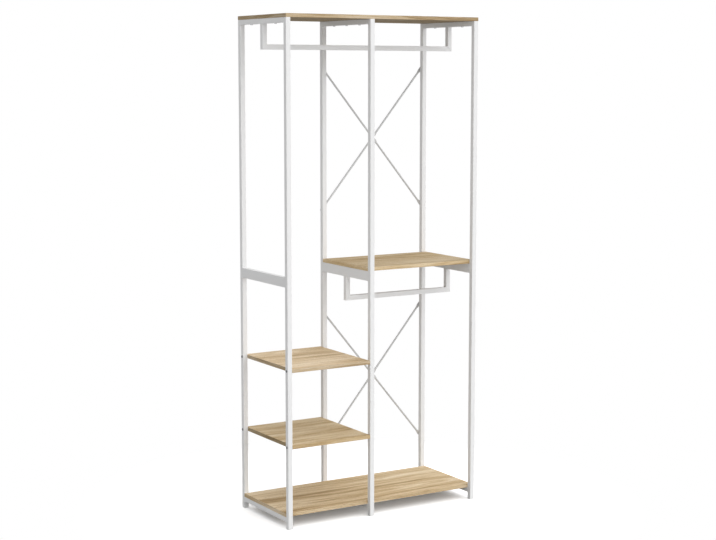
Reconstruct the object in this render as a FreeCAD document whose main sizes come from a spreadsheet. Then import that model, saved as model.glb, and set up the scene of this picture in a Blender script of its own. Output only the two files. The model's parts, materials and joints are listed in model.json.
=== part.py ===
import FreeCAD, Part
import Sketcher
import os
import re

# Open frame wardrobe, in millimetres. Three welded ladder frames of white square tube carry oak boards,
# two hanging rails and two crossed braces. The origin is on the floor under the wardrobe's middle,
# +X runs to the right, +Y to the rear and +Z up.

SIZES = {
    # Overall box and the clear width between the left and the centre frame
    "wardrobe_width": 900,
    "wardrobe_depth": 400,
    "wardrobe_height": 2025,
    "left_bay": 360,
    # Square tube of the frames and hanging rails, and the taller tube of the middle rails
    "tube_side": 20,
    "tube_wall": 1.2,
    "tube_corner": 1.5,
    "mid_rail_height": 40,
    # Boards, their softened edges and the gaps beside the uprights
    "board_thickness": 15,
    "board_edge": 0.6,
    "board_play": 0.5,
    "shelf_play": 0.2,
    # Undersides of the boards above the floor
    "bottom_board_level": 48,
    "lower_shelf_level": 325,
    "upper_shelf_level": 631,
    "middle_shelf_level": 1008,
    # Hanging rails: from the carrying rail's underside to the bar's underside
    "hanger_drop": 100,
    "thread_plate_thickness": 3,
    "bolt_shank": 6,
    "bolt_length": 14,
    "bolt_head": 10,
    "bolt_head_height": 5,
    "bolt_socket": 5,
    # Screws that hold the boards
    "screw_shank": 4.8,
    "screw_tip": 3,
    "screw_head": 11,
    "screw_head_height": 3,
    "screw_head_bevel": 1,
    "screw_socket": 4,
    "screw_socket_depth": 1.6,
    "screw_bite": 11,
    "shelf_screw_bite": 30,
    "shelf_screw_head_height": 1.8,
    "rail_screw_span": 200,
    "screw_play": 0.2,
    "hole_play": 0.6,
    "access_play": 2,
    # Crossed braces: rods with flattened eyes on the uprights' backs and a riveted disc between them
    # Lower eyes of the lower brace over the floor, upper eyes of the upper brace under the top board
    "lower_brace_level": 201,
    "upper_brace_drop": 188,
    "brace_rise": 595,
    "rod_diameter": 8,
    "flat_width": 13,
    "flat_thickness": 3,
    "flat_length": 16,
    "taper_length": 14,
    "eye_screw_shank": 5,
    "eye_screw_head": 9,
    "eye_screw_head_height": 2.5,
    "eye_screw_socket": 3,
    "spacer_diameter": 12,
    "disc_diameter": 22,
    "disc_thickness": 2,
    "rivet_shank": 5,
    "rivet_head": 9,
    "rivet_head_height": 1.6,
    # Foot plugs pressed into the uprights
    "plug_flange": 4,
    "plug_round": 1.4,
    "plug_insert": 16,
    "plug_wall": 2,
    "plug_play": 0.15,
}

# Places worked out from the sizes
LEFT = "(-wardrobe_width / 2 + tube_side / 2)"
CENTRE = "(-wardrobe_width / 2 + tube_side * 1.5 + left_bay)"
RIGHT = "(wardrobe_width / 2 - tube_side / 2)"
FRONT = "(-wardrobe_depth / 2 + tube_side / 2)"
REAR = "(wardrobe_depth / 2 - tube_side / 2)"
FRAME_TOP = "(wardrobe_height - board_thickness)"
RIGHT_BAY = "(wardrobe_width - left_bay - 3 * tube_side)"
RIGHT_BAY_MIDDLE = f"(wardrobe_width / 2 - tube_side - {RIGHT_BAY} / 2)"
INNER_DEPTH = "(wardrobe_depth - 2 * tube_side)"
BORE = "(tube_side - 2 * tube_wall)"
BRACE_RUN = f"({RIGHT_BAY} + tube_side)"
BACK = "(wardrobe_depth / 2)"
SPACER_FACE = f"({BACK} + flat_thickness + disc_thickness)"
SCREW_HOLE = "(screw_shank + hole_play)"
PILOT_HOLE = "(screw_shank + screw_play)"
ACCESS_HOLE = "(screw_head + access_play)"
EYE_HOLE = "(eye_screw_shank + screw_play)"
HALF_SPAN = "rail_screw_span / 2"
TOP_HANGER_SEAT = f"({FRAME_TOP} - tube_side)"
LOWER_HANGER_SEAT = "(middle_shelf_level - mid_rail_height)"
STACK_FACE = "(disc_thickness / 2 + flat_thickness)"

FRAMES = {"left": LEFT, "centre": CENTRE, "right": RIGHT}
SIDES = {"front": FRONT, "rear": REAR}
SHELF_LEVELS = {"lower": "lower_shelf_level", "upper": "upper_shelf_level"}
BRACE_LEVELS = {"lower": "lower_brace_level",
                "upper": f"({FRAME_TOP} - upper_brace_drop - brace_rise)"}

# Turns from a body's own axes to the wardrobe's
UPRIGHT = FreeCAD.Rotation()
TO_REAR = FreeCAD.Rotation(FreeCAD.Vector(1, 0, 0), -90)
TO_LEFT = FreeCAD.Rotation(FreeCAD.Vector(0, 1, 0), -90)
TO_RIGHT = FreeCAD.Rotation(FreeCAD.Vector(0, 1, 0), 90)
FACING_BACK = FreeCAD.Rotation(FreeCAD.Vector(0, 0, 1), 180)
DOWNWARD = FreeCAD.Rotation(FreeCAD.Vector(1, 0, 0), 180)
TO_FRONT = FreeCAD.Rotation(FreeCAD.Vector(1, 0, 0), 90)

doc = FreeCAD.newDocument("open_frame_wardrobe")
sheet = doc.addObject("Spreadsheet::Sheet", "Sizes")
for row, (name, value) in enumerate(SIZES.items(), start=1):
    sheet.set(f"A{row}", name)
    sheet.set(f"B{row}", str(value))
    sheet.setAlias(f"B{row}", name)
doc.recompute()

nodes = []


def bind(thing, prop, formula):
    """Tie a property to a formula, with each size in it read from the sheet."""
    def from_sheet(word):
        return f"Sizes.{word[0]}" if word[0] in SIZES else word[0]

    thing.setExpression(prop, re.sub(r"[a-z_]+", from_sheet, formula))


def place(thing, position, turn=UPRIGHT):
    """Turn a thing and tie its position to three formulas."""
    thing.Placement = FreeCAD.Placement(FreeCAD.Vector(), turn)
    for axis, formula in zip("xyz", position):
        bind(thing, f"Placement.Base.{axis}", formula)


def new_body(label, position=("0", "0", "0"), turn=UPRIGHT):
    """Start a body with its label and its place in the wardrobe."""
    body = doc.addObject("PartDesign::Body", label)
    body.Label = label
    place(body, position, turn)
    return body


def new_node(label, position, turn=UPRIGHT):
    """Start a body that is a piece of the wardrobe."""
    body = new_body(label, position, turn)
    nodes.append(body)
    return body


def origin_plane(body, role):
    """Find one of the body's own planes."""
    return next(feature for feature in body.Origin.OriginFeatures if feature.Role == role)


def new_sketch(body, plane, height="0"):
    """Start a sketch at a height over one of the body's own planes."""
    sketch = body.newObject("Sketcher::SketchObject", "Sketch")
    sketch.AttachmentSupport = [(origin_plane(body, plane), "")]
    sketch.MapMode = "FlatFace"
    bind(sketch, "AttachmentOffset.Base.z", height)
    return sketch


def fix(sketch, kind, elements, formula):
    """Add a constraint whose value follows a formula."""
    index = sketch.addConstraint(Sketcher.Constraint(kind, *elements, 1.0))
    constraint_name = f"size_{index}"
    sketch.renameConstraint(index, constraint_name)
    bind(sketch, f"Constraints.{constraint_name}", formula)


def draw_outline(sketch, points):
    """Draw a closed outline of straight lines through points given as pairs of formulas."""
    count = len(points)
    start = [FreeCAD.Vector(index, index * index, 0) for index in range(count)]
    for index in range(count):
        sketch.addGeometry(Part.LineSegment(start[index], start[(index + 1) % count]))
    for index in range(count):
        sketch.addConstraint(Sketcher.Constraint("Coincident", index, 2, (index + 1) % count, 1))
    for index, (x, y) in enumerate(points):
        fix(sketch, "DistanceX", (-1, 1, index, 1), x)
        fix(sketch, "DistanceY", (-1, 1, index, 1), y)


def draw_rectangle(sketch, width, height):
    """Draw a rectangle centred on the sketch's origin."""
    half_x = f"({width}) / 2"
    half_y = f"({height}) / 2"
    draw_outline(sketch, [(f"-{half_x}", f"-{half_y}"), (half_x, f"-{half_y}"),
                          (half_x, half_y), (f"-{half_x}", half_y)])


def draw_circle(sketch, diameter, centre=("0", "0")):
    """Draw a circle about a centre given as two formulas."""
    index = sketch.addGeometry(Part.Circle(FreeCAD.Vector(), FreeCAD.Vector(0, 0, 1), 1))
    fix(sketch, "Diameter", (index,), diameter)
    fix(sketch, "DistanceX", (-1, 1, index, 3), centre[0])
    fix(sketch, "DistanceY", (-1, 1, index, 3), centre[1])


def pad(body, sketch, length, symmetric=False, reverse=False):
    """Raise a sketch to a length, or to half of it on each side."""
    feature = body.newObject("PartDesign::Pad", "Pad")
    feature.Profile = sketch
    feature.SideType = "Symmetric" if symmetric else "One side"
    feature.Reversed = reverse
    bind(feature, "Length", length)
    return feature


def pocket(body, sketch, depth=None, side="both"):
    """Cut a sketch through both walls, or from its plane to one side only."""
    feature = body.newObject("PartDesign::Pocket", "Pocket")
    feature.Profile = sketch
    feature.SideType = "Symmetric" if side == "both" else "One side"
    feature.Reversed = side == "along normal"
    feature.Type = "ThroughAll" if depth is None else "Length"
    if depth is not None:
        bind(feature, "Length", depth)
    return feature


def drill(body, plane, diameter, centres, depth=None, side="both", height="0"):
    """Drill round holes of one diameter square to one of the body's planes."""
    sketch = new_sketch(body, plane, height)
    for centre in centres:
        draw_circle(sketch, diameter, centre)
    return pocket(body, sketch, depth, side)


def soften(body, kind, prop, size, chosen):
    """Round or bevel the edges that a test picks out."""
    doc.recompute()
    base = body.Tip
    feature = body.newObject(kind, "Edges")
    feature.Base = (base, [f"Edge{i}" for i, edge in enumerate(base.Shape.Edges, 1) if chosen(edge)])
    bind(feature, prop, size)
    return feature


def upright_edge(edge):
    """Tell whether an edge of a square piece runs along the body's Z axis."""
    return round(abs(edge.tangentAt(edge.FirstParameter).z)) == 1


def level_edge(edge):
    """Tell whether an edge of a square piece lies square to the body's Z axis."""
    return not upright_edge(edge)


def floor_edge(edge):
    """Tell whether an edge touches the body's XY plane."""
    return round(edge.BoundBox.ZMin) == 0


def add_tube(body, width, depth, length, symmetric=False):
    """Raise a hollow rectangular tube with rounded corners along the body's Z axis."""
    outer = new_sketch(body, "XY_Plane")
    draw_rectangle(outer, width, depth)
    pad(body, outer, length, symmetric)
    soften(body, "PartDesign::Fillet", "Radius", "tube_corner", upright_edge)
    inner = new_sketch(body, "XY_Plane")
    draw_rectangle(inner, f"({width}) - 2 * tube_wall", f"({depth}) - 2 * tube_wall")
    pocket(body, inner)


def add_mitre(body, end, slope):
    """Cut a tube's end at 45 degrees, short on its +X side; slope is -1 at the far end."""
    sketch = new_sketch(body, "XZ_Plane")
    draw_outline(sketch, [("-tube_side / 2", end), ("tube_side / 2", f"{end} + ({slope}) * tube_side"),
                          ("tube_side / 2", end)])
    pocket(body, sketch)


def make_upright(frame, side):
    """An upright: square tube from its foot plug to the top board, drilled for small shelves and braces."""
    body = new_node(f"{frame}_{side}_upright", (FRAMES[frame], SIDES[side], "plug_flange"))
    add_tube(body, "tube_side", "tube_side", f"{FRAME_TOP} - plug_flange")
    if frame != "right":
        heights = [f"{level} + board_thickness / 2 - plug_flange" for level in SHELF_LEVELS.values()]
        drill(body, "YZ_Plane", SCREW_HOLE, [("0", height) for height in heights])
    if frame != "left" and side == "rear":
        ends = ("", " + brace_rise")
        eyes = [f"{level}{end} - plug_flange" for level in BRACE_LEVELS.values() for end in ends]
        drill(body, "XZ_Plane", EYE_HOLE, [("0", eye) for eye in eyes], side="against normal")


def make_foot_plug(frame, side):
    """A foot plug: rounded flange under the upright and a hollow insert inside it."""
    body = new_node(f"{frame}_{side}_foot_plug", (FRAMES[frame], SIDES[side], "0"))
    flange = new_sketch(body, "XY_Plane")
    draw_rectangle(flange, "tube_side", "tube_side")
    pad(body, flange, "plug_flange")
    soften(body, "PartDesign::Fillet", "Radius", "plug_round", floor_edge)
    insert_side = f"{BORE} - 2 * plug_play"
    core_side = f"{insert_side} - 2 * plug_wall"
    insert = new_sketch(body, "XY_Plane", "plug_flange")
    draw_rectangle(insert, insert_side, insert_side)
    pad(body, insert, "plug_insert")
    core = new_sketch(body, "XY_Plane", "plug_flange")
    draw_rectangle(core, core_side, core_side)
    pocket(body, core, "plug_insert", "along normal")


def make_rail(label, frame, height, top):
    """A cross rail between a frame's uprights, its upper face at a level."""
    body = new_node(label, (FRAMES[frame], "0", f"{top} - ({height}) / 2"), TO_REAR)
    add_tube(body, "tube_side", height, INNER_DEPTH, symmetric=True)
    return body


def drill_hanger_bolt(rail):
    """Drill a rail for a hanging rail's bolt, with an access hole in the upper wall."""
    drill(rail, "XZ_Plane", "bolt_shank + hole_play", [("0", "0")], side="against normal")
    drill(rail, "XZ_Plane", "bolt_head + access_play", [("0", "0")], side="along normal")


def screw_rows(with_centre):
    """Places along a rail of its board screws."""
    return [f"-{HALF_SPAN}", "0", HALF_SPAN] if with_centre else [f"-{HALF_SPAN}", HALF_SPAN]


def make_top_rail(frame):
    """A top rail, drilled for the top board's screws and at the ends for the top hanging rail."""
    rail = make_rail(f"{frame}_top_rail", frame, "tube_side", FRAME_TOP)
    drill(rail, "XZ_Plane", SCREW_HOLE, [("0", row) for row in screw_rows(frame == "centre")])
    if frame != "centre":
        drill_hanger_bolt(rail)


def make_middle_rail(frame):
    """A middle rail; beside the right bay it carries the middle shelf and the lower hanging rail."""
    rail = make_rail(f"{frame}_middle_rail", frame, "mid_rail_height", "middle_shelf_level")
    if frame != "left":
        rows = [("0", row) for row in screw_rows(False)]
        drill(rail, "XZ_Plane", SCREW_HOLE, rows, side="along normal")
        drill(rail, "XZ_Plane", ACCESS_HOLE, rows, side="against normal")
        drill_hanger_bolt(rail)


def make_bottom_rail(frame):
    """A bottom rail, drilled for the bottom board's screws."""
    rail = make_rail(f"{frame}_bottom_rail", frame, "tube_side", "bottom_board_level")
    drill(rail, "XZ_Plane", SCREW_HOLE, [("0", row) for row in screw_rows(False)])


def make_board(label, centre, width, depth, level):
    """A board with bevelled edges, its underside at a level."""
    body = new_node(label, (centre, "0", level))
    outline = new_sketch(body, "XY_Plane")
    draw_rectangle(outline, width, depth)
    pad(body, outline, "board_thickness")
    soften(body, "PartDesign::Chamfer", "Size", "board_edge", level_edge)
    return body


def drill_from_below(board, centre, columns):
    """Drill pilot holes into a board's underside over the rails that carry it."""
    holes = [(f"{FRAMES[frame]} - {centre}", row) for frame, rows in columns.items() for row in rows]
    drill(board, "XY_Plane", PILOT_HOLE, holes, "screw_bite + screw_play", "along normal")


def make_boards():
    """The five boards with the holes of their screws."""
    middle_centre = f"({CENTRE} + {RIGHT}) / 2"
    shelf_centre = f"({LEFT} + {CENTRE}) / 2"
    held_depth = f"{INNER_DEPTH} - 2 * board_play"
    two = screw_rows(False)
    top = make_board("top_board", "0", "wardrobe_width", "wardrobe_depth", FRAME_TOP)
    drill_from_below(top, "0", {"left": two, "centre": screw_rows(True), "right": two})
    middle = make_board("middle_shelf", middle_centre, f"{RIGHT_BAY} + 2 * tube_side", held_depth,
                        "middle_shelf_level")
    drill_from_below(middle, middle_centre, {"centre": two, "right": two})
    bottom = make_board("bottom_board", "0", "wardrobe_width", held_depth, "bottom_board_level")
    drill_from_below(bottom, "0", {"left": two, "centre": two, "right": two})
    for name, level in SHELF_LEVELS.items():
        shelf = make_board(f"{name}_small_shelf", shelf_centre, "left_bay - 2 * shelf_play",
                           "wardrobe_depth", level)
        ends = [(row, "board_thickness / 2") for row in SIDES.values()]
        for sign, side in (("-", "along normal"), ("", "against normal")):
            drill(shelf, "YZ_Plane", PILOT_HOLE, ends, "shelf_screw_bite + screw_play", side,
                  f"{sign}(left_bay / 2 - shelf_play)")


def make_hanging_rail(name, first, last, carried_from):
    """A hanging rail: a bar and two drops, mitred where they meet."""
    level = f"{carried_from} - hanger_drop"
    ends = {"left": (first, UPRIGHT), "right": (last, FACING_BACK)}
    bar_start = (f"{last} + tube_side / 2", "0", f"{level} + tube_side / 2")
    bar = new_node(f"{name}_hanging_bar", bar_start, TO_LEFT)
    bar_length = f"({last} - {first} + tube_side)"
    add_tube(bar, "tube_side", "tube_side", bar_length)
    add_mitre(bar, "0", "1")
    add_mitre(bar, bar_length, "-1")
    for end, (column, turn) in ends.items():
        drop = new_node(f"{name}_{end}_hanger_drop", (column, "0", level), turn)
        add_tube(drop, "tube_side", "tube_side", "hanger_drop")
        add_mitre(drop, "0", "1")


def add_turned(body, points):
    """Turn a half outline of radius and height pairs about the body's Z axis."""
    sketch = new_sketch(body, "XZ_Plane")
    draw_outline(sketch, points)
    feature = body.newObject("PartDesign::Revolution", "Turned")
    feature.Profile = sketch
    feature.ReferenceAxis = (sketch, ["V_Axis"])
    feature.Angle = 360


def make_screw(label, head, head_height, bevel, shank, length, tip, socket, socket_depth):
    """A screw that is copied to its places: bevelled head under Z = 0, shank up, hexagon socket."""
    body = new_body(label)
    add_turned(body, [("0", f"-{head_height}"), (f"{head} / 2 - {bevel}", f"-{head_height}"),
                      (f"{head} / 2", f"-{head_height} + {bevel}"), (f"{head} / 2", "0"),
                      (f"{shank} / 2", "0"), (f"{shank} / 2", f"{length} - {tip}"),
                      (f"{shank} / 4", length), ("0", length)])
    corner = f"{socket} / sqrt(3)"
    flat = f"{socket} / 2"
    hexagon = new_sketch(body, "XY_Plane", f"-{head_height}")
    draw_outline(hexagon, [(corner, "0"), (f"{corner} / 2", flat), (f"-{corner} / 2", flat),
                           (f"-{corner}", "0"), (f"-{corner} / 2", f"-{flat}"),
                           (f"{corner} / 2", f"-{flat}")])
    pocket(body, hexagon, socket_depth, "along normal")
    return body


def make_group(label, master, places):
    """Copies of one fastener at its places, as one node of separate solids."""
    links = []
    for position, turn in places:
        link = doc.addObject("App::Link", f"{label}_copy")
        link.LinkedObject = master
        place(link, position, turn)
        links.append(link)
    group = doc.addObject("Part::Compound", label)
    group.Label = label
    group.Links = links
    nodes.append(group)


def make_board_screws():
    """Screws of the boards on the rails, and of the small shelves between the uprights."""
    def rows(frames, level):
        return [((FRAMES[frame], row, level), UPRIGHT) for frame, centred in frames.items()
                for row in screw_rows(centred)]

    sizes = ["screw_head", "screw_head_height", "screw_head_bevel", "screw_shank"]
    low_sizes = ["screw_head", "shelf_screw_head_height", "screw_head_bevel", "screw_shank"]
    socket = ["screw_tip", "screw_socket", "screw_socket_depth"]
    end_length = "(tube_side + shelf_play + shelf_screw_bite)"
    rail_screw = make_screw("rail_screw_pattern", *sizes, "(tube_side + screw_bite)", *socket)
    inner_screw = make_screw("inner_screw_pattern", *sizes, "(tube_wall + screw_bite)", *socket)
    end_screw = make_screw("end_screw_pattern", *low_sizes, end_length, *socket)
    make_group("top_board_screws", rail_screw,
               rows({"left": False, "centre": True, "right": False}, f"{FRAME_TOP} - tube_side"))
    make_group("bottom_board_screws", rail_screw,
               rows({"left": False, "centre": False, "right": False}, "bottom_board_level - tube_side"))
    make_group("middle_shelf_screws", inner_screw,
               rows({"centre": False, "right": False}, "middle_shelf_level - tube_wall"))
    for name, level in SHELF_LEVELS.items():
        height = f"{level} + board_thickness / 2"
        outer = [((f"{LEFT} - tube_side / 2", row, height), TO_RIGHT) for row in SIDES.values()]
        inner = [((f"{CENTRE} + tube_side / 2", row, height), TO_LEFT) for row in SIDES.values()]
        make_group(f"{name}_small_shelf_screws", end_screw, outer + inner)


def make_hanger_fixings():
    """Plates with a thread inside the tops of the drops, and the bolts that hold them from the rails."""
    seats = [(LEFT, TOP_HANGER_SEAT), (RIGHT, TOP_HANGER_SEAT),
             (CENTRE, LOWER_HANGER_SEAT), (RIGHT, LOWER_HANGER_SEAT)]
    plate = new_body("thread_plate_pattern")
    outline = new_sketch(plate, "XY_Plane")
    draw_rectangle(outline, BORE, BORE)
    pad(plate, outline, "thread_plate_thickness", reverse=True)
    drill(plate, "XY_Plane", "bolt_shank + screw_play", [("0", "0")])
    make_group("hanger_thread_plates", plate, [((column, "0", seat), UPRIGHT) for column, seat in seats])
    bolt = make_screw("hanger_bolt_pattern", "bolt_head", "bolt_head_height", "screw_head_bevel",
                      "bolt_shank", "bolt_length", "screw_tip", "bolt_socket", "screw_socket_depth")
    make_group("hanger_bolts", bolt,
               [((column, "0", f"{seat} + tube_wall"), DOWNWARD) for column, seat in seats])


def add_flat(body, low, high):
    """A flattened stretch of a brace rod between two heights."""
    sketch = new_sketch(body, "XZ_Plane")
    draw_outline(sketch, [("-flat_width / 2", low), ("flat_width / 2", low),
                          ("flat_width / 2", high), ("-flat_width / 2", high)])
    return pad(body, sketch, "flat_thickness", symmetric=True)


def add_taper(body, flat_end, round_end):
    """The stretch of a brace rod that widens from the round bar to a flat."""
    wide = new_sketch(body, "XY_Plane", flat_end)
    draw_rectangle(wide, "flat_width", "flat_thickness")
    round_section = new_sketch(body, "XY_Plane", round_end)
    draw_circle(round_section, "rod_diameter")
    loft = body.newObject("PartDesign::AdditiveLoft", "Taper")
    loft.Profile = wide
    loft.Sections = [round_section]
    return loft


def make_rod(label, position, axis):
    """A brace rod, pressed flat in the middle and at both ends, which are rounded and drilled eyes."""
    body = new_node(label, position, FreeCAD.Rotation(axis, 1))
    bind(body, "Placement.Rotation.Angle", f"atan({BRACE_RUN} / brace_rise)")
    half = f"(sqrt(pow({BRACE_RUN}; 2) + pow(brace_rise; 2)) / 2)"
    bar_start = "(flat_length + taper_length)"
    bar_end = f"({half} - flat_length - taper_length)"
    halves = [add_flat(body, "0", "flat_length"), add_taper(body, "flat_length", bar_start)]
    bar = new_sketch(body, "XY_Plane", bar_start)
    draw_circle(bar, "rod_diameter")
    halves.append(pad(body, bar, f"{bar_end} - {bar_start}"))
    halves.append(add_taper(body, f"{half} - flat_length", bar_end))
    halves.append(add_flat(body, f"{half} - flat_length", half))
    eye = new_sketch(body, "XZ_Plane")
    draw_circle(eye, "flat_width", ("0", half))
    halves.append(pad(body, eye, "flat_thickness", symmetric=True))
    mirror = body.newObject("PartDesign::Mirrored", "Mirror")
    mirror.Originals = halves
    mirror.MirrorPlane = (origin_plane(body, "XY_Plane"), [""])
    body.Tip = mirror
    drill(body, "XZ_Plane", "eye_screw_shank + hole_play", [("0", half), ("0", f"-{half}")])
    drill(body, "XZ_Plane", "rivet_shank + screw_play", [("0", "0")])


def make_brace(name, level):
    """A crossed brace behind the right bay: two rods, with a disc and a rivet where they cross."""
    middle = f"{level} + brace_rise / 2"
    make_rod(f"{name}_brace_falling_rod", (RIGHT_BAY_MIDDLE, f"{BACK} + flat_thickness / 2", middle),
             FreeCAD.Vector(0, -1, 0))
    make_rod(f"{name}_brace_rising_rod", (RIGHT_BAY_MIDDLE, f"{SPACER_FACE} + flat_thickness / 2", middle),
             FreeCAD.Vector(0, 1, 0))
    crossing = (RIGHT_BAY_MIDDLE, f"{BACK} + {STACK_FACE}", middle)
    disc = new_node(f"{name}_brace_disc", crossing)
    outline = new_sketch(disc, "XZ_Plane")
    draw_circle(outline, "disc_diameter")
    pad(disc, outline, "disc_thickness", symmetric=True)
    drill(disc, "XZ_Plane", "rivet_shank + screw_play", [("0", "0")])
    rivet = new_node(f"{name}_brace_rivet", crossing, TO_REAR)
    crown = f"({STACK_FACE} + rivet_head_height)"
    crown_radius = "rivet_head / 2 - rivet_head_height / 2"
    add_turned(rivet, [("0", f"-{crown}"), (crown_radius, f"-{crown}"), ("rivet_head / 2", f"-{STACK_FACE}"),
                       ("rivet_shank / 2", f"-{STACK_FACE}"), ("rivet_shank / 2", STACK_FACE),
                       ("rivet_head / 2", STACK_FACE), (crown_radius, crown), ("0", crown)])
    for side, column, height in (("left", CENTRE, level), ("right", RIGHT, f"{level} + brace_rise")):
        spacer = new_node(f"{name}_brace_{side}_spacer", (column, BACK, height), TO_REAR)
        ring = new_sketch(spacer, "XY_Plane")
        draw_circle(ring, "spacer_diameter")
        draw_circle(ring, "eye_screw_shank + hole_play")
        pad(spacer, ring, "flat_thickness + disc_thickness")


def make_brace_screws():
    """Screws through the rods' eyes into the uprights' backs, longer where there is a spacer."""
    def eye_screw(label, grip):
        return make_screw(label, "eye_screw_head", "eye_screw_head_height", "screw_head_bevel",
                          "eye_screw_shank", f"({grip} + tube_wall + screw_tip)",
                          "screw_tip / 2", "eye_screw_socket", "screw_socket_depth")

    falling = []
    rising = []
    for level in BRACE_LEVELS.values():
        high = f"{level} + brace_rise"
        falling += [((CENTRE, f"{BACK} + flat_thickness", high), TO_FRONT),
                    ((RIGHT, f"{BACK} + flat_thickness", level), TO_FRONT)]
        rising += [((CENTRE, f"{SPACER_FACE} + flat_thickness", level), TO_FRONT),
                   ((RIGHT, f"{SPACER_FACE} + flat_thickness", high), TO_FRONT)]
    make_group("short_brace_screws", eye_screw("short_brace_screw_pattern", "flat_thickness"), falling)
    make_group("long_brace_screws",
               eye_screw("long_brace_screw_pattern", "2 * flat_thickness + disc_thickness"), rising)


for frame in FRAMES:
    for side in SIDES:
        make_upright(frame, side)
        make_foot_plug(frame, side)
    make_top_rail(frame)
    make_middle_rail(frame)
    make_bottom_rail(frame)
make_boards()
make_board_screws()
make_hanging_rail("top", LEFT, RIGHT, TOP_HANGER_SEAT)
make_hanging_rail("lower", CENTRE, RIGHT, LOWER_HANGER_SEAT)
make_hanger_fixings()
for name, level in BRACE_LEVELS.items():
    make_brace(name, level)
make_brace_screws()
doc.recompute()

failed = [thing.Label for thing in doc.Objects if {"Invalid", "Error"} & set(thing.State)]
failed += [node.Label for node in nodes if node.Shape.isNull() or not node.Shape.isValid()]
if failed:
    raise RuntimeError(f"these pieces failed: {failed}")

os.makedirs("parts", exist_ok=True)
for node in nodes:
    node.Shape.exportStep(f"parts/{node.Label}.step")
print(f"{len(nodes)} pieces written")
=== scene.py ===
"""Looks of the open frame wardrobe: finishes on its pieces, weld beads, floor, light and camera.

Lengths are metres in the wardrobe's own frame: +X right, +Y rear, +Z up, with the origin on the floor
under its middle.
"""
import json
import math

import bpy
import numpy as np
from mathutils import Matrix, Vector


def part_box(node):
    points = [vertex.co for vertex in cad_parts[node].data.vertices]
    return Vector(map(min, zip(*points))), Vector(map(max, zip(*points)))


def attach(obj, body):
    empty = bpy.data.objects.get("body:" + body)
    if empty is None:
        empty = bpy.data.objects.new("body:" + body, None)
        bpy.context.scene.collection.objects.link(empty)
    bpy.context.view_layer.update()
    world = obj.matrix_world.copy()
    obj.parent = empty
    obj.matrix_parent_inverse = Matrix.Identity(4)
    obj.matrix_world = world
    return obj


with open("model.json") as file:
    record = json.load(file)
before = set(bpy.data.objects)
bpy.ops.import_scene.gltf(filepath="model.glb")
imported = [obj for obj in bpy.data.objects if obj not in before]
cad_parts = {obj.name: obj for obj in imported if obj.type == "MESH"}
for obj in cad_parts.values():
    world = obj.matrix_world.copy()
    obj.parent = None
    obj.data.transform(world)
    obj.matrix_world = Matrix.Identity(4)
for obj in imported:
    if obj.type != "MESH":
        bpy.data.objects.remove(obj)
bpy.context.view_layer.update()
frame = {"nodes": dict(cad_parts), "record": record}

# The photograph's view: eye point, heading from the rear axis towards the right, tilt down, and lens
EYE = (-3.3632, -5.5060, 1.7897)
HEADING = math.radians(31.371)
TILT_DOWN = math.radians(7.071)
LENS_MM = 78.94
SENSOR_MM = 36.0

# Soft studio light: an even part, a broad part from the front, above and a little right, and a weaker
# broad part from behind; each with the direction it comes from
EVEN_LIGHT = 0.28
FRONT_LIGHT = 1.56
FRONT_LIGHT_FROM = (0.27, -0.88, 0.28)
BACK_LIGHT = 0.50
BACK_LIGHT_FROM = (0.45, 0.80, 0.35)
WHITE = (1.0, 1.0, 1.0, 1.0)

# Floor by the wardrobe as the camera sees it, over 1 so that only the shadow shows on it; the distances
# from the middle between which it passes into plain white; what it throws back on the wardrobe; its reach
FLOOR_COLOUR = (1.6, 1.6, 1.6, 1.0)
FLOOR_GLOW = 0.08
FLOOR_NEAR, FLOOR_FAR = 0.75, 1.2
FLOOR_BOUNCE = (0.52, 0.52, 0.52, 1.0)
FLOOR_REACH = 40.0

# Welds: bead radius in the rails' corners and across the hanging rails' mitres, the ripples along a bead
# as their length and share of the radius, and the tubes' corner radius
FILLET_BEAD = 0.0022
SEAM_BEAD = 0.0007
RIPPLE_LENGTH, RIPPLE_SHARE = 0.0016, 0.10
TUBE_CORNER = 0.0015

# Powder coats: the deepest and the palest grey of their uneven tone
WHITE_COAT = (0.85, 0.88)
ROD_COAT = (0.60, 0.64)

# Plated screws: their colour, that of worn patches, and their roughness
DARK_PLATING = ((0.17, 0.17, 0.18, 1), (0.24, 0.24, 0.24, 1), 0.42)
ZINC_PLATING = ((0.58, 0.59, 0.61, 1), (0.70, 0.70, 0.70, 1), 0.30)

# Oak decor from the palest wood to the darkest, and its pores
OAK_TONES = ((0.00, (0.800, 0.645, 0.445, 1)), (0.42, (0.655, 0.485, 0.283, 1)),
             (0.72, (0.530, 0.368, 0.193, 1)), (1.00, (0.345, 0.222, 0.106, 1)))
OAK_PORE = (0.270, 0.172, 0.085, 1)

# Oak figure: the heart's depth under the face, how far slow and quick waves bend the growth rings, and
# the rings' spacing
HEART_DEPTH = 0.030
SWAY_REACH, RIPPLE_REACH = 0.075, 0.006
RING_SPACING = 0.0062

# Middle tone of the decor, and how far each part of the grain moves it
MIDDLE_TONE = 0.36
BAND_REACH, STREAK_REACH, FLAME_REACH, FIBRE_REACH, EARLY_REACH = 0.8, 2.3, 1.2, 0.45, 0.24

# Painted shade on the undersides, and the tone of the softened edges, as shares of the upper faces' own
# tone
PAINTED_UNDERSIDE_SHADE = 0.56
BEVEL_TONE = 0.80

# How far a direction has to lie along an axis to count as facing it, and as square with it
ALONG_AXIS = 0.6
SQUARE_TO_AXIS = 0.9
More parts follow.
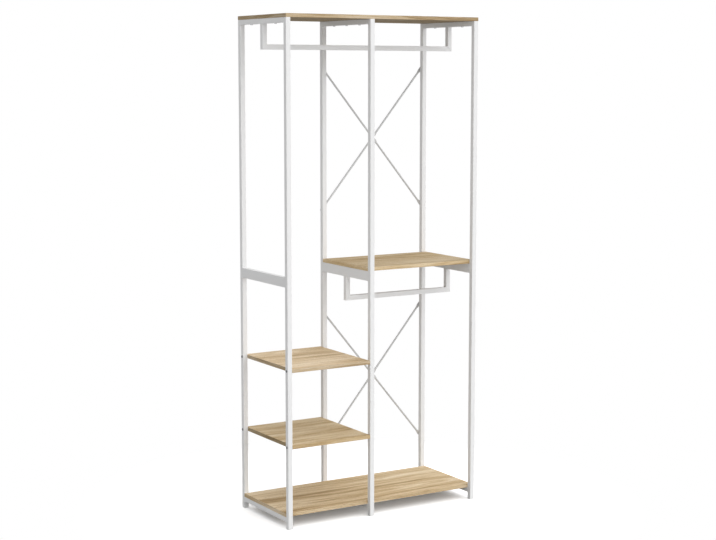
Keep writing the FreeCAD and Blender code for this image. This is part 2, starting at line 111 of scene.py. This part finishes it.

# Each board's own look: where its decor is cut from, the heart line across it, the bands' taper along it,
# its tint, and the tone of its front and back edge bands and of its end bands, with painted light and shade
BOARD_LOOKS = {
    "top_board": dict(cut_from=(3.1, 0.7, 0.0), heart=0.62, taper=0.030,
                      tint=(0.93, 0.98, 1.08), front_band_tone_and_painted_light=0.97, end_band_tone_and_painted_light=0.79),
    "middle_shelf": dict(cut_from=(7.4, 1.9, 0.3), heart=1.98, taper=-0.022,
                         tint=(0.86, 0.89, 0.92), front_band_tone_and_painted_light=1.22, end_band_tone_and_painted_light=1.32),
    "bottom_board": dict(cut_from=(11.2, 4.3, 0.6), heart=4.22, taper=0.026,
                         tint=(1.18, 1.24, 1.34), front_band_tone_and_painted_light=0.88, end_band_tone_and_painted_light=0.90),
    "lower_small_shelf": dict(cut_from=(15.9, 6.1, 0.9), heart=6.05, taper=0.024,
                              tint=(1.07, 1.11, 1.14), front_band_tone_and_painted_light=0.96, end_band_tone_and_painted_light=0.60),
    "upper_small_shelf": dict(cut_from=(21.3, 8.8, 1.2), heart=8.95, taper=-0.028,
                              tint=(1.22, 1.28, 1.42), front_band_tone_and_painted_light=0.76, end_band_tone_and_painted_light=0.68),
}


def plug(tree, socket, value):
    """Link a socket to another one, or set it to a plain value."""
    if isinstance(value, bpy.types.NodeSocket):
        tree.links.new(value, socket)
    else:
        socket.default_value = value


def wire(tree, kind, inputs=None, **settings):
    """Add a node, apply its settings, and set or link each named or numbered input."""
    node = tree.nodes.new(kind)
    for name, value in settings.items():
        setattr(node, name, value)
    for key, value in (inputs or {}).items():
        plug(tree, node.inputs[key], value)
    return node


def empty_tree(owner):
    """Switch a material or world to nodes and return its tree with nothing in it."""
    owner.use_nodes = True
    owner.node_tree.nodes.clear()
    return owner.node_tree


def sums(tree, operation, *values):
    """Add a maths node on one to three values or sockets and return its result."""
    return wire(tree, "ShaderNodeMath", dict(enumerate(values)), operation=operation).outputs[0]


def vectors(tree, operation, *values, result="Vector"):
    """Add a vector maths node and return its vector or its single value."""
    return wire(tree, "ShaderNodeVectorMath", dict(enumerate(values)), operation=operation).outputs[result]


def swing(tree, waver, reach, base):
    """Add to a base how far a waver lies from its middle of a half, times a reach."""
    return sums(tree, "MULTIPLY_ADD", sums(tree, "SUBTRACT", waver, 0.5), reach, base)


def pick(tree, share, usual, other):
    """The usual value where the share is 0, and the other where it is 1."""
    return wire(tree, "ShaderNodeMix", {"Factor": share, 2: usual, 3: other}).outputs[0]


def split(tree, vector):
    """The three parts of a vector."""
    return wire(tree, "ShaderNodeSeparateXYZ", {0: vector}).outputs


def join(tree, *parts):
    """A vector of three parts."""
    return wire(tree, "ShaderNodeCombineXYZ", dict(enumerate(parts))).outputs[0]


def noise(tree, place, stretch, detail=2.0, roughness=0.5):
    """Noise at a place whose axes are first stretched, as counts per metre."""
    spread = vectors(tree, "MULTIPLY", place, stretch)
    node = wire(tree, "ShaderNodeTexNoise",
                {"Vector": spread, "Scale": 1.0, "Detail": detail, "Roughness": roughness})
    return node.outputs["Fac"]


def even_noise(tree, place, count, detail=2.0):
    """Noise with the same count per metre along each axis."""
    return noise(tree, place, (count, count, count), detail)


def between(tree, value, low, high, to_low=0.0, to_high=1.0):
    """Map a value from one range to another, smoothly and clamped."""
    node = wire(tree, "ShaderNodeMapRange",
                {"Value": value, "From Min": low, "From Max": high, "To Min": to_low, "To Max": to_high},
                interpolation_type="SMOOTHSTEP")
    return node.outputs["Result"]


def blend_colours(tree, share, first, second):
    """Mix two colours by a share."""
    node = wire(tree, "ShaderNodeMix", {"Factor": share, 6: first, 7: second}, data_type="RGBA")
    return node.outputs[2]


def bump(tree, height, depth):
    """Turn a height from 0 to 1 into a bumped normal of that depth."""
    node = wire(tree, "ShaderNodeBump", {"Height": height, "Distance": depth, "Strength": 1.0})
    return node.outputs["Normal"]


def object_place(tree):
    """The place on the piece in the wardrobe's frame."""
    return wire(tree, "ShaderNodeTexCoord").outputs["Object"]


def new_finish(name):
    """Start a material with one Principled shader; returns the material, its tree and that shader."""
    material = bpy.data.materials.new(name)
    tree = empty_tree(material)
    shader = wire(tree, "ShaderNodeBsdfPrincipled")
    wire(tree, "ShaderNodeOutputMaterial", {"Surface": shader.outputs["BSDF"]})
    return material, tree, shader


def set_shader(tree, shader, **inputs):
    """Set or link the Principled shader's inputs by their names with underscores for spaces."""
    for name, value in inputs.items():
        plug(tree, shader.inputs[name.replace("_", " ")], value)


def powder_coat(name, deepest, palest):
    """Satin powder coat with a fine orange peel and a faint unevenness of tone."""
    material, tree, shader = new_finish(name)
    place = object_place(tree)
    peel = even_noise(tree, place, 700)
    tone = even_noise(tree, place, 9, detail=3.0)
    colour = blend_colours(tree, tone, (deepest, deepest, deepest, 1), (palest, palest, palest, 1))
    sheen = between(tree, even_noise(tree, place, 60, detail=4.0), 0.3, 0.7, to_low=0.36, to_high=0.46)
    set_shader(tree, shader, Base_Color=colour, Roughness=sheen, Specular_IOR_Level=0.2,
               Normal=bump(tree, peel, depth=0.00006))
    return material


def foot_plastic():
    """White moulded plastic with a fine spark-eroded texture."""
    material, tree, shader = new_finish("white_foot_plastic")
    place = object_place(tree)
    texture = even_noise(tree, place, 2200, detail=1.0)
    tone = even_noise(tree, place, 40)
    colour = blend_colours(tree, tone, (0.80, 0.80, 0.79, 1), (0.84, 0.84, 0.83, 1))
    set_shader(tree, shader, Base_Color=colour, Roughness=0.55, Normal=bump(tree, texture, depth=0.00004))
    return material


def screw_metal(name, colour, worn, rough):
    """Plated screw steel with fine turning marks and slightly brighter worn patches."""
    material, tree, shader = new_finish(name)
    place = object_place(tree)
    marks = even_noise(tree, place, 2600)
    patches = even_noise(tree, place, 350, detail=3.0)
    tint = blend_colours(tree, between(tree, patches, 0.45, 0.75), colour, worn)
    gloss = between(tree, marks, 0.3, 0.7, to_low=rough - 0.06, to_high=rough + 0.08)
    set_shader(tree, shader, Base_Color=tint, Metallic=1.0, Roughness=gloss,
               Normal=bump(tree, marks, depth=0.00002))
    return material


def board_grain_place(tree, cut_from, front_band_tone_and_painted_light, end_band_tone_and_painted_light):
    """Place along, across and under the grain, which runs along X on faces and along the band on edges,
    and the tone of the face or edge band there, with painted shade on the undersides and painted light
    and shade in the edge bands' tones."""
    coordinates = wire(tree, "ShaderNodeTexCoord").outputs
    x, y, z = split(tree, coordinates["Object"])
    upward = split(tree, coordinates["Normal"])[2]
    facing_x, facing_y, facing_z = split(tree, vectors(tree, "ABSOLUTE", coordinates["Normal"]))
    on_underside = sums(tree, "LESS_THAN", upward, -ALONG_AXIS)
    on_end = sums(tree, "GREATER_THAN", facing_x, ALONG_AXIS)
    on_front = sums(tree, "GREATER_THAN", facing_y, ALONG_AXIS)
    squarest = sums(tree, "MAXIMUM", sums(tree, "MAXIMUM", facing_x, facing_y), facing_z)
    on_bevel = sums(tree, "LESS_THAN", squarest, SQUARE_TO_AXIS)

    along = pick(tree, on_end, x, y)
    across = pick(tree, on_end, pick(tree, on_front, y, z), z)
    under = pick(tree, on_end, pick(tree, on_front, z, y), x)
    # painted shade: the undersides are coloured darker than the upper faces
    tone = pick(tree, on_underside, 1.0, PAINTED_UNDERSIDE_SHADE)
    # painted light and shade: each board's front and end bands made lighter or darker by how lit they are
    tone = pick(tree, on_end, pick(tree, on_front, tone, front_band_tone_and_painted_light), end_band_tone_and_painted_light)
    tone = pick(tree, on_bevel, tone, sums(tree, "MULTIPLY", tone, BEVEL_TONE))
    return vectors(tree, "ADD", join(tree, along, across, under), cut_from), tone


def growth_rings(tree, place, heart, taper):
    """Distance from the heart line, bent by slow and quick waves, plus a taper along the grain: wood that
    has the same distance grew in the same ring."""
    along, across, under = split(tree, place)
    off_heart = sums(tree, "SUBTRACT", across, heart)
    off_heart = swing(tree, noise(tree, place, (1.9, 4.5, 1.0)), SWAY_REACH, off_heart)
    off_heart = swing(tree, noise(tree, place, (14.0, 30.0, 1.0)), RIPPLE_REACH, off_heart)
    squared = sums(tree, "MULTIPLY_ADD", off_heart, off_heart, HEART_DEPTH ** 2)
    rings = sums(tree, "MULTIPLY_ADD", along, taper, sums(tree, "SQRT", squared))
    return rings, join(tree, rings, along, under)


def early_wood(tree, place, rings):
    """The porous start of each ring, from 0 to 1, stronger in some patches than in others."""
    phase = sums(tree, "FRACT", sums(tree, "DIVIDE", rings, RING_SPACING))
    start = sums(tree, "MULTIPLY", between(tree, phase, 0.0, 0.18), between(tree, phase, 1.0, 0.34))
    patches = between(tree, noise(tree, place, (3.0, 14.0, 1.0)), 0.35, 0.65, to_low=0.25)
    return sums(tree, "MULTIPLY", start, patches)


def oak_ramp(tree, tone):
    """Colour of the wood from the palest tone at 0 to the darkest at 1."""
    ramp = wire(tree, "ShaderNodeValToRGB", {"Fac": tone})
    stops = ramp.color_ramp.elements
    stops.remove(stops[1])
    stops[0].position, stops[0].color = OAK_TONES[0]
    for position, colour in OAK_TONES[1:]:
        stops.new(position).color = colour
    return ramp.outputs["Color"]


def oak_board(name, cut_from, heart, taper, tint, front_band_tone_and_painted_light, end_band_tone_and_painted_light):
    """Oak-effect board: bands, streaks and flames that follow the growth rings, with fibres and short dark
    pores along the grain, pressed lightly into the face."""
    material, tree, shader = new_finish(name)
    place, face_tone_and_painted_light = board_grain_place(tree, cut_from, front_band_tone_and_painted_light, end_band_tone_and_painted_light)
    rings, ring_place = growth_rings(tree, place, heart, taper)
    band = noise(tree, ring_place, (13.0, 0.7, 1.0), detail=1.0)
    streak = noise(tree, ring_place, (42.0, 1.5, 1.0), detail=5.0, roughness=0.68)
    flame = noise(tree, ring_place, (210.0, 6.0, 1.0), detail=3.0, roughness=0.6)
    early = early_wood(tree, place, rings)
    fibre = noise(tree, place, (24.0, 1400.0, 60.0))
    pores = between(tree, noise(tree, place, (85.0, 1700.0, 60.0), detail=1.0), 0.60, 0.67)
    pores = sums(tree, "MULTIPLY", pores, between(tree, early, 0.0, 0.7, to_low=0.20, to_high=0.85))

    tone = sums(tree, "MULTIPLY_ADD", early, EARLY_REACH, MIDDLE_TONE)
    reaches = ((band, BAND_REACH), (streak, STREAK_REACH), (flame, FLAME_REACH), (fibre, FIBRE_REACH))
    for grain, reach in reaches:
        tone = swing(tree, grain, reach, tone)
    wood = blend_colours(tree, pores, oak_ramp(tree, tone), OAK_PORE)
    tinted = vectors(tree, "MULTIPLY", wood, tint)
    # this colour carries painted shade on the undersides and painted light and shade on the edge bands
    toned_with_painted_light = vectors(tree, "MULTIPLY", tinted, face_tone_and_painted_light)

    height = sums(tree, "MULTIPLY_ADD", fibre, 0.3, sums(tree, "MULTIPLY", pores, -1.0))
    gloss = between(tree, streak, 0.3, 0.7, to_low=0.82, to_high=0.92)
    set_shader(tree, shader, Base_Color=toned_with_painted_light, Roughness=gloss, Specular_IOR_Level=0.10,
               Normal=bump(tree, height, depth=0.00006))
    return material


def dress_cad_pieces(coat):
    """Give each CAD piece the finish of its material slot, each board a grain of its own, and the braces'
    rods and discs a greyer coat."""
    rod_coat = powder_coat("pale_grey_rod_coat", *ROD_COAT)
    finishes = {
        "white_coating": coat,
        "foot_plastic": foot_plastic(),
        "dark_screw": screw_metal("dark_screw_steel", *DARK_PLATING),
        "zinc_fixing": screw_metal("zinc_screw_steel", *ZINC_PLATING),
    }
    boards = {node: oak_board(f"oak_{node}", **look) for node, look in BOARD_LOOKS.items()}
    for subpart in frame["record"]["subparts"]:
        node = subpart["node"]
        finish = boards.get(node) or finishes[subpart["material_slot"]]
        if node.endswith(("_rod", "_disc")):
            finish = rod_coat
        materials = frame["nodes"][node].data.materials
        materials.clear()
        materials.append(finish)


def add_piece(name, points, faces):
    """Make points and faces into an object at the origin."""
    mesh = bpy.data.meshes.new(name)
    mesh.from_pydata(points.tolist(), [], faces)
    piece = bpy.data.objects.new(name, mesh)
    bpy.context.scene.collection.objects.link(piece)
    return piece


def weld_beads(name, lines, radius):
    """Small weld beads, each a tube about a straight line. Along the line the tube's radius is the bead's
    radius times the fourth root of one minus the eighth power of the place from -1 to 1, so that it closes
    at both ends, times one plus a shallow cosine for the ripples."""
    steps, around = 40, 10
    starts, ends = np.asarray(lines, float).transpose(1, 0, 2)
    reach = ends - starts
    length = np.linalg.norm(reach, axis=1, keepdims=True)
    forward = reach / length
    vertical = np.abs(forward[:, 2:3]) > SQUARE_TO_AXIS
    side = np.cross(forward, np.where(vertical, [[1.0, 0.0, 0.0]], [[0.0, 0.0, 1.0]]))
    side /= np.linalg.norm(side, axis=1, keepdims=True)
    up = np.cross(side, forward)

    share = (1 - np.cos(np.pi * np.arange(1, steps) / steps)) / 2
    taper = (1 - np.abs(2 * share - 1) ** 8) ** 0.25
    ripples = 1 + RIPPLE_SHARE * np.cos(2 * np.pi * share * length / RIPPLE_LENGTH)
    reach_out = radius * taper * ripples
    turn = 2 * np.pi * np.arange(around) / around
    spoke = np.cos(turn)[:, None] * side[:, None, :] + np.sin(turn)[:, None] * up[:, None, :]
    core = starts[:, None, :] + share[:, None] * reach[:, None, :]
    rings = core[:, :, None, :] + reach_out[:, :, None, None] * spoke[:, None, :, :]
    count = len(starts)
    points = np.concatenate([rings.reshape(count, -1, 3), starts[:, None], ends[:, None]], axis=1)

    row, column = np.meshgrid(np.arange(steps - 2), np.arange(around), indexing="ij")
    after = (column + 1) % around
    quads = np.stack([row * around + column, (row + 1) * around + column,
                      (row + 1) * around + after, row * around + after], axis=-1).reshape(-1, 4)
    first, last = (steps - 1) * around, (steps - 1) * around + 1
    here = np.arange(around)
    there = (here + 1) % around
    end_ring = (steps - 2) * around
    caps = np.concatenate([np.stack([np.full(around, first), here, there], axis=-1),
                           np.stack([np.full(around, last), end_ring + there, end_ring + here], axis=-1)])
    offsets = (np.arange(count) * points.shape[1])[:, None, None]
    faces = (quads + offsets).reshape(-1, 4).tolist() + (caps + offsets).reshape(-1, 3).tolist()
    piece = add_piece(name, points.reshape(-1, 3), faces)
    piece.data.polygons.foreach_set("use_smooth", np.ones(len(faces), bool))
    return piece


def rail_weld_lines():
    """Corners under the cross rails, and over the left middle rail, where they meet the uprights."""
    lines = []
    for side in ("left", "centre", "right"):
        for level in ("top", "middle", "bottom"):
            low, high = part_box(f"{side}_{level}_rail")
            heights = (low.z, high.z) if (side, level) == ("left", "middle") else (low.z,)
            lines += [((low.x + TUBE_CORNER, y, z), (high.x - TUBE_CORNER, y, z))
                      for z in heights for y in (low.y, high.y)]
    return lines


def mitre_weld_lines():
    """Mitred corners of the hanging rails: across their front and rear faces, and inside the corner."""
    seams = []
    corners = []
    for name in ("top", "lower"):
        low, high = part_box(f"{name}_hanging_bar")
        tube = high.z - low.z
        for outer, inner in ((low.x, low.x + tube), (high.x, high.x - tube)):
            seams += [((outer, y, low.z), (inner, y, high.z)) for y in (low.y, high.y)]
            corners.append(((inner, low.y + TUBE_CORNER, high.z), (inner, high.y - TUBE_CORNER, high.z)))
    return seams, corners


def weld_the_frames(coat):
    """Weld beads under the powder coat of the rails and hanging rails."""
    seams, corners = mitre_weld_lines()
    beads = [weld_beads("rail_weld_beads", rail_weld_lines() + corners, FILLET_BEAD),
             weld_beads("mitre_weld_beads", seams, SEAM_BEAD)]
    for bead in beads:
        bead.data.materials.append(coat)
        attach(bead, "root")


def seen_share(tree):
    """1 for rays from the camera, and for mirror and glass rays, else 0."""
    path = wire(tree, "ShaderNodeLightPath").outputs
    shown = sums(tree, "MAXIMUM", path["Is Camera Ray"], path["Is Glossy Ray"])
    return sums(tree, "MAXIMUM", shown, path["Is Transmission Ray"])


def blend_shaders(tree, share, first, second):
    """Mix two shaders by a share."""
    return wire(tree, "ShaderNodeMixShader", {0: share, 1: first, 2: second}).outputs[0]


def lay_floor():
    """A plain white floor that keeps the shadow, and throws less light back than the camera sees."""
    corners = FLOOR_REACH * np.array([(-1, -1, 0), (1, -1, 0), (1, 1, 0), (-1, 1, 0)])
    floor = add_piece("floor", corners, [(0, 1, 2, 3)])
    material = bpy.data.materials.new("floor_white")
    tree = empty_tree(material)
    shaded = wire(tree, "ShaderNodeBsdfDiffuse", {"Color": FLOOR_COLOUR}).outputs[0]
    glow = wire(tree, "ShaderNodeEmission", {"Strength": FLOOR_GLOW}).outputs[0]
    near = wire(tree, "ShaderNodeAddShader", {0: shaded, 1: glow}).outputs[0]
    white = wire(tree, "ShaderNodeEmission", {"Strength": 1.0}).outputs[0]
    from_middle = vectors(tree, "LENGTH", object_place(tree), result="Value")
    seen = blend_shaders(tree, between(tree, from_middle, FLOOR_NEAR, FLOOR_FAR), near, white)
    thrown = wire(tree, "ShaderNodeBsdfDiffuse", {"Color": FLOOR_BOUNCE}).outputs[0]
    wire(tree, "ShaderNodeOutputMaterial", {"Surface": blend_shaders(tree, seen_share(tree), thrown, seen)})
    floor.data.materials.append(material)


def light_studio():
    """White background, and light that is even plus broad parts that grow with the cosine to the
    directions they come from."""
    world = bpy.data.worlds.new("studio")
    bpy.context.scene.world = world
    tree = empty_tree(world)
    direction = wire(tree, "ShaderNodeTexCoord").outputs["Generated"]
    level = EVEN_LIGHT
    for strength, from_point in ((FRONT_LIGHT, FRONT_LIGHT_FROM), (BACK_LIGHT, BACK_LIGHT_FROM)):
        towards = np.array(from_point) / np.linalg.norm(from_point)
        cosine = vectors(tree, "DOT_PRODUCT", direction, towards.tolist(), result="Value")
        level = sums(tree, "MULTIPLY_ADD", sums(tree, "MAXIMUM", cosine, 0.0), strength, level)
    light = wire(tree, "ShaderNodeBackground", {"Color": WHITE, "Strength": level}).outputs[0]
    white = wire(tree, "ShaderNodeBackground", {"Color": WHITE, "Strength": 1.0}).outputs[0]
    wire(tree, "ShaderNodeOutputWorld", {"Surface": blend_shaders(tree, seen_share(tree), light, white)})
    bpy.context.scene.view_settings.view_transform = "Standard"


def set_camera():
    """A camera at the photograph's eye point."""
    data = bpy.data.cameras.new("camera")
    data.lens = LENS_MM
    data.sensor_width = SENSOR_MM
    camera = bpy.data.objects.new("camera", data)
    camera.location = EYE
    camera.rotation_euler = (math.pi / 2 - TILT_DOWN, 0.0, -HEADING)
    bpy.context.scene.collection.objects.link(camera)
    bpy.context.scene.camera = camera


white_coat = powder_coat("white_powder_coat", *WHITE_COAT)
dress_cad_pieces(white_coat)
weld_the_frames(white_coat)
lay_floor()
light_studio()
set_camera()
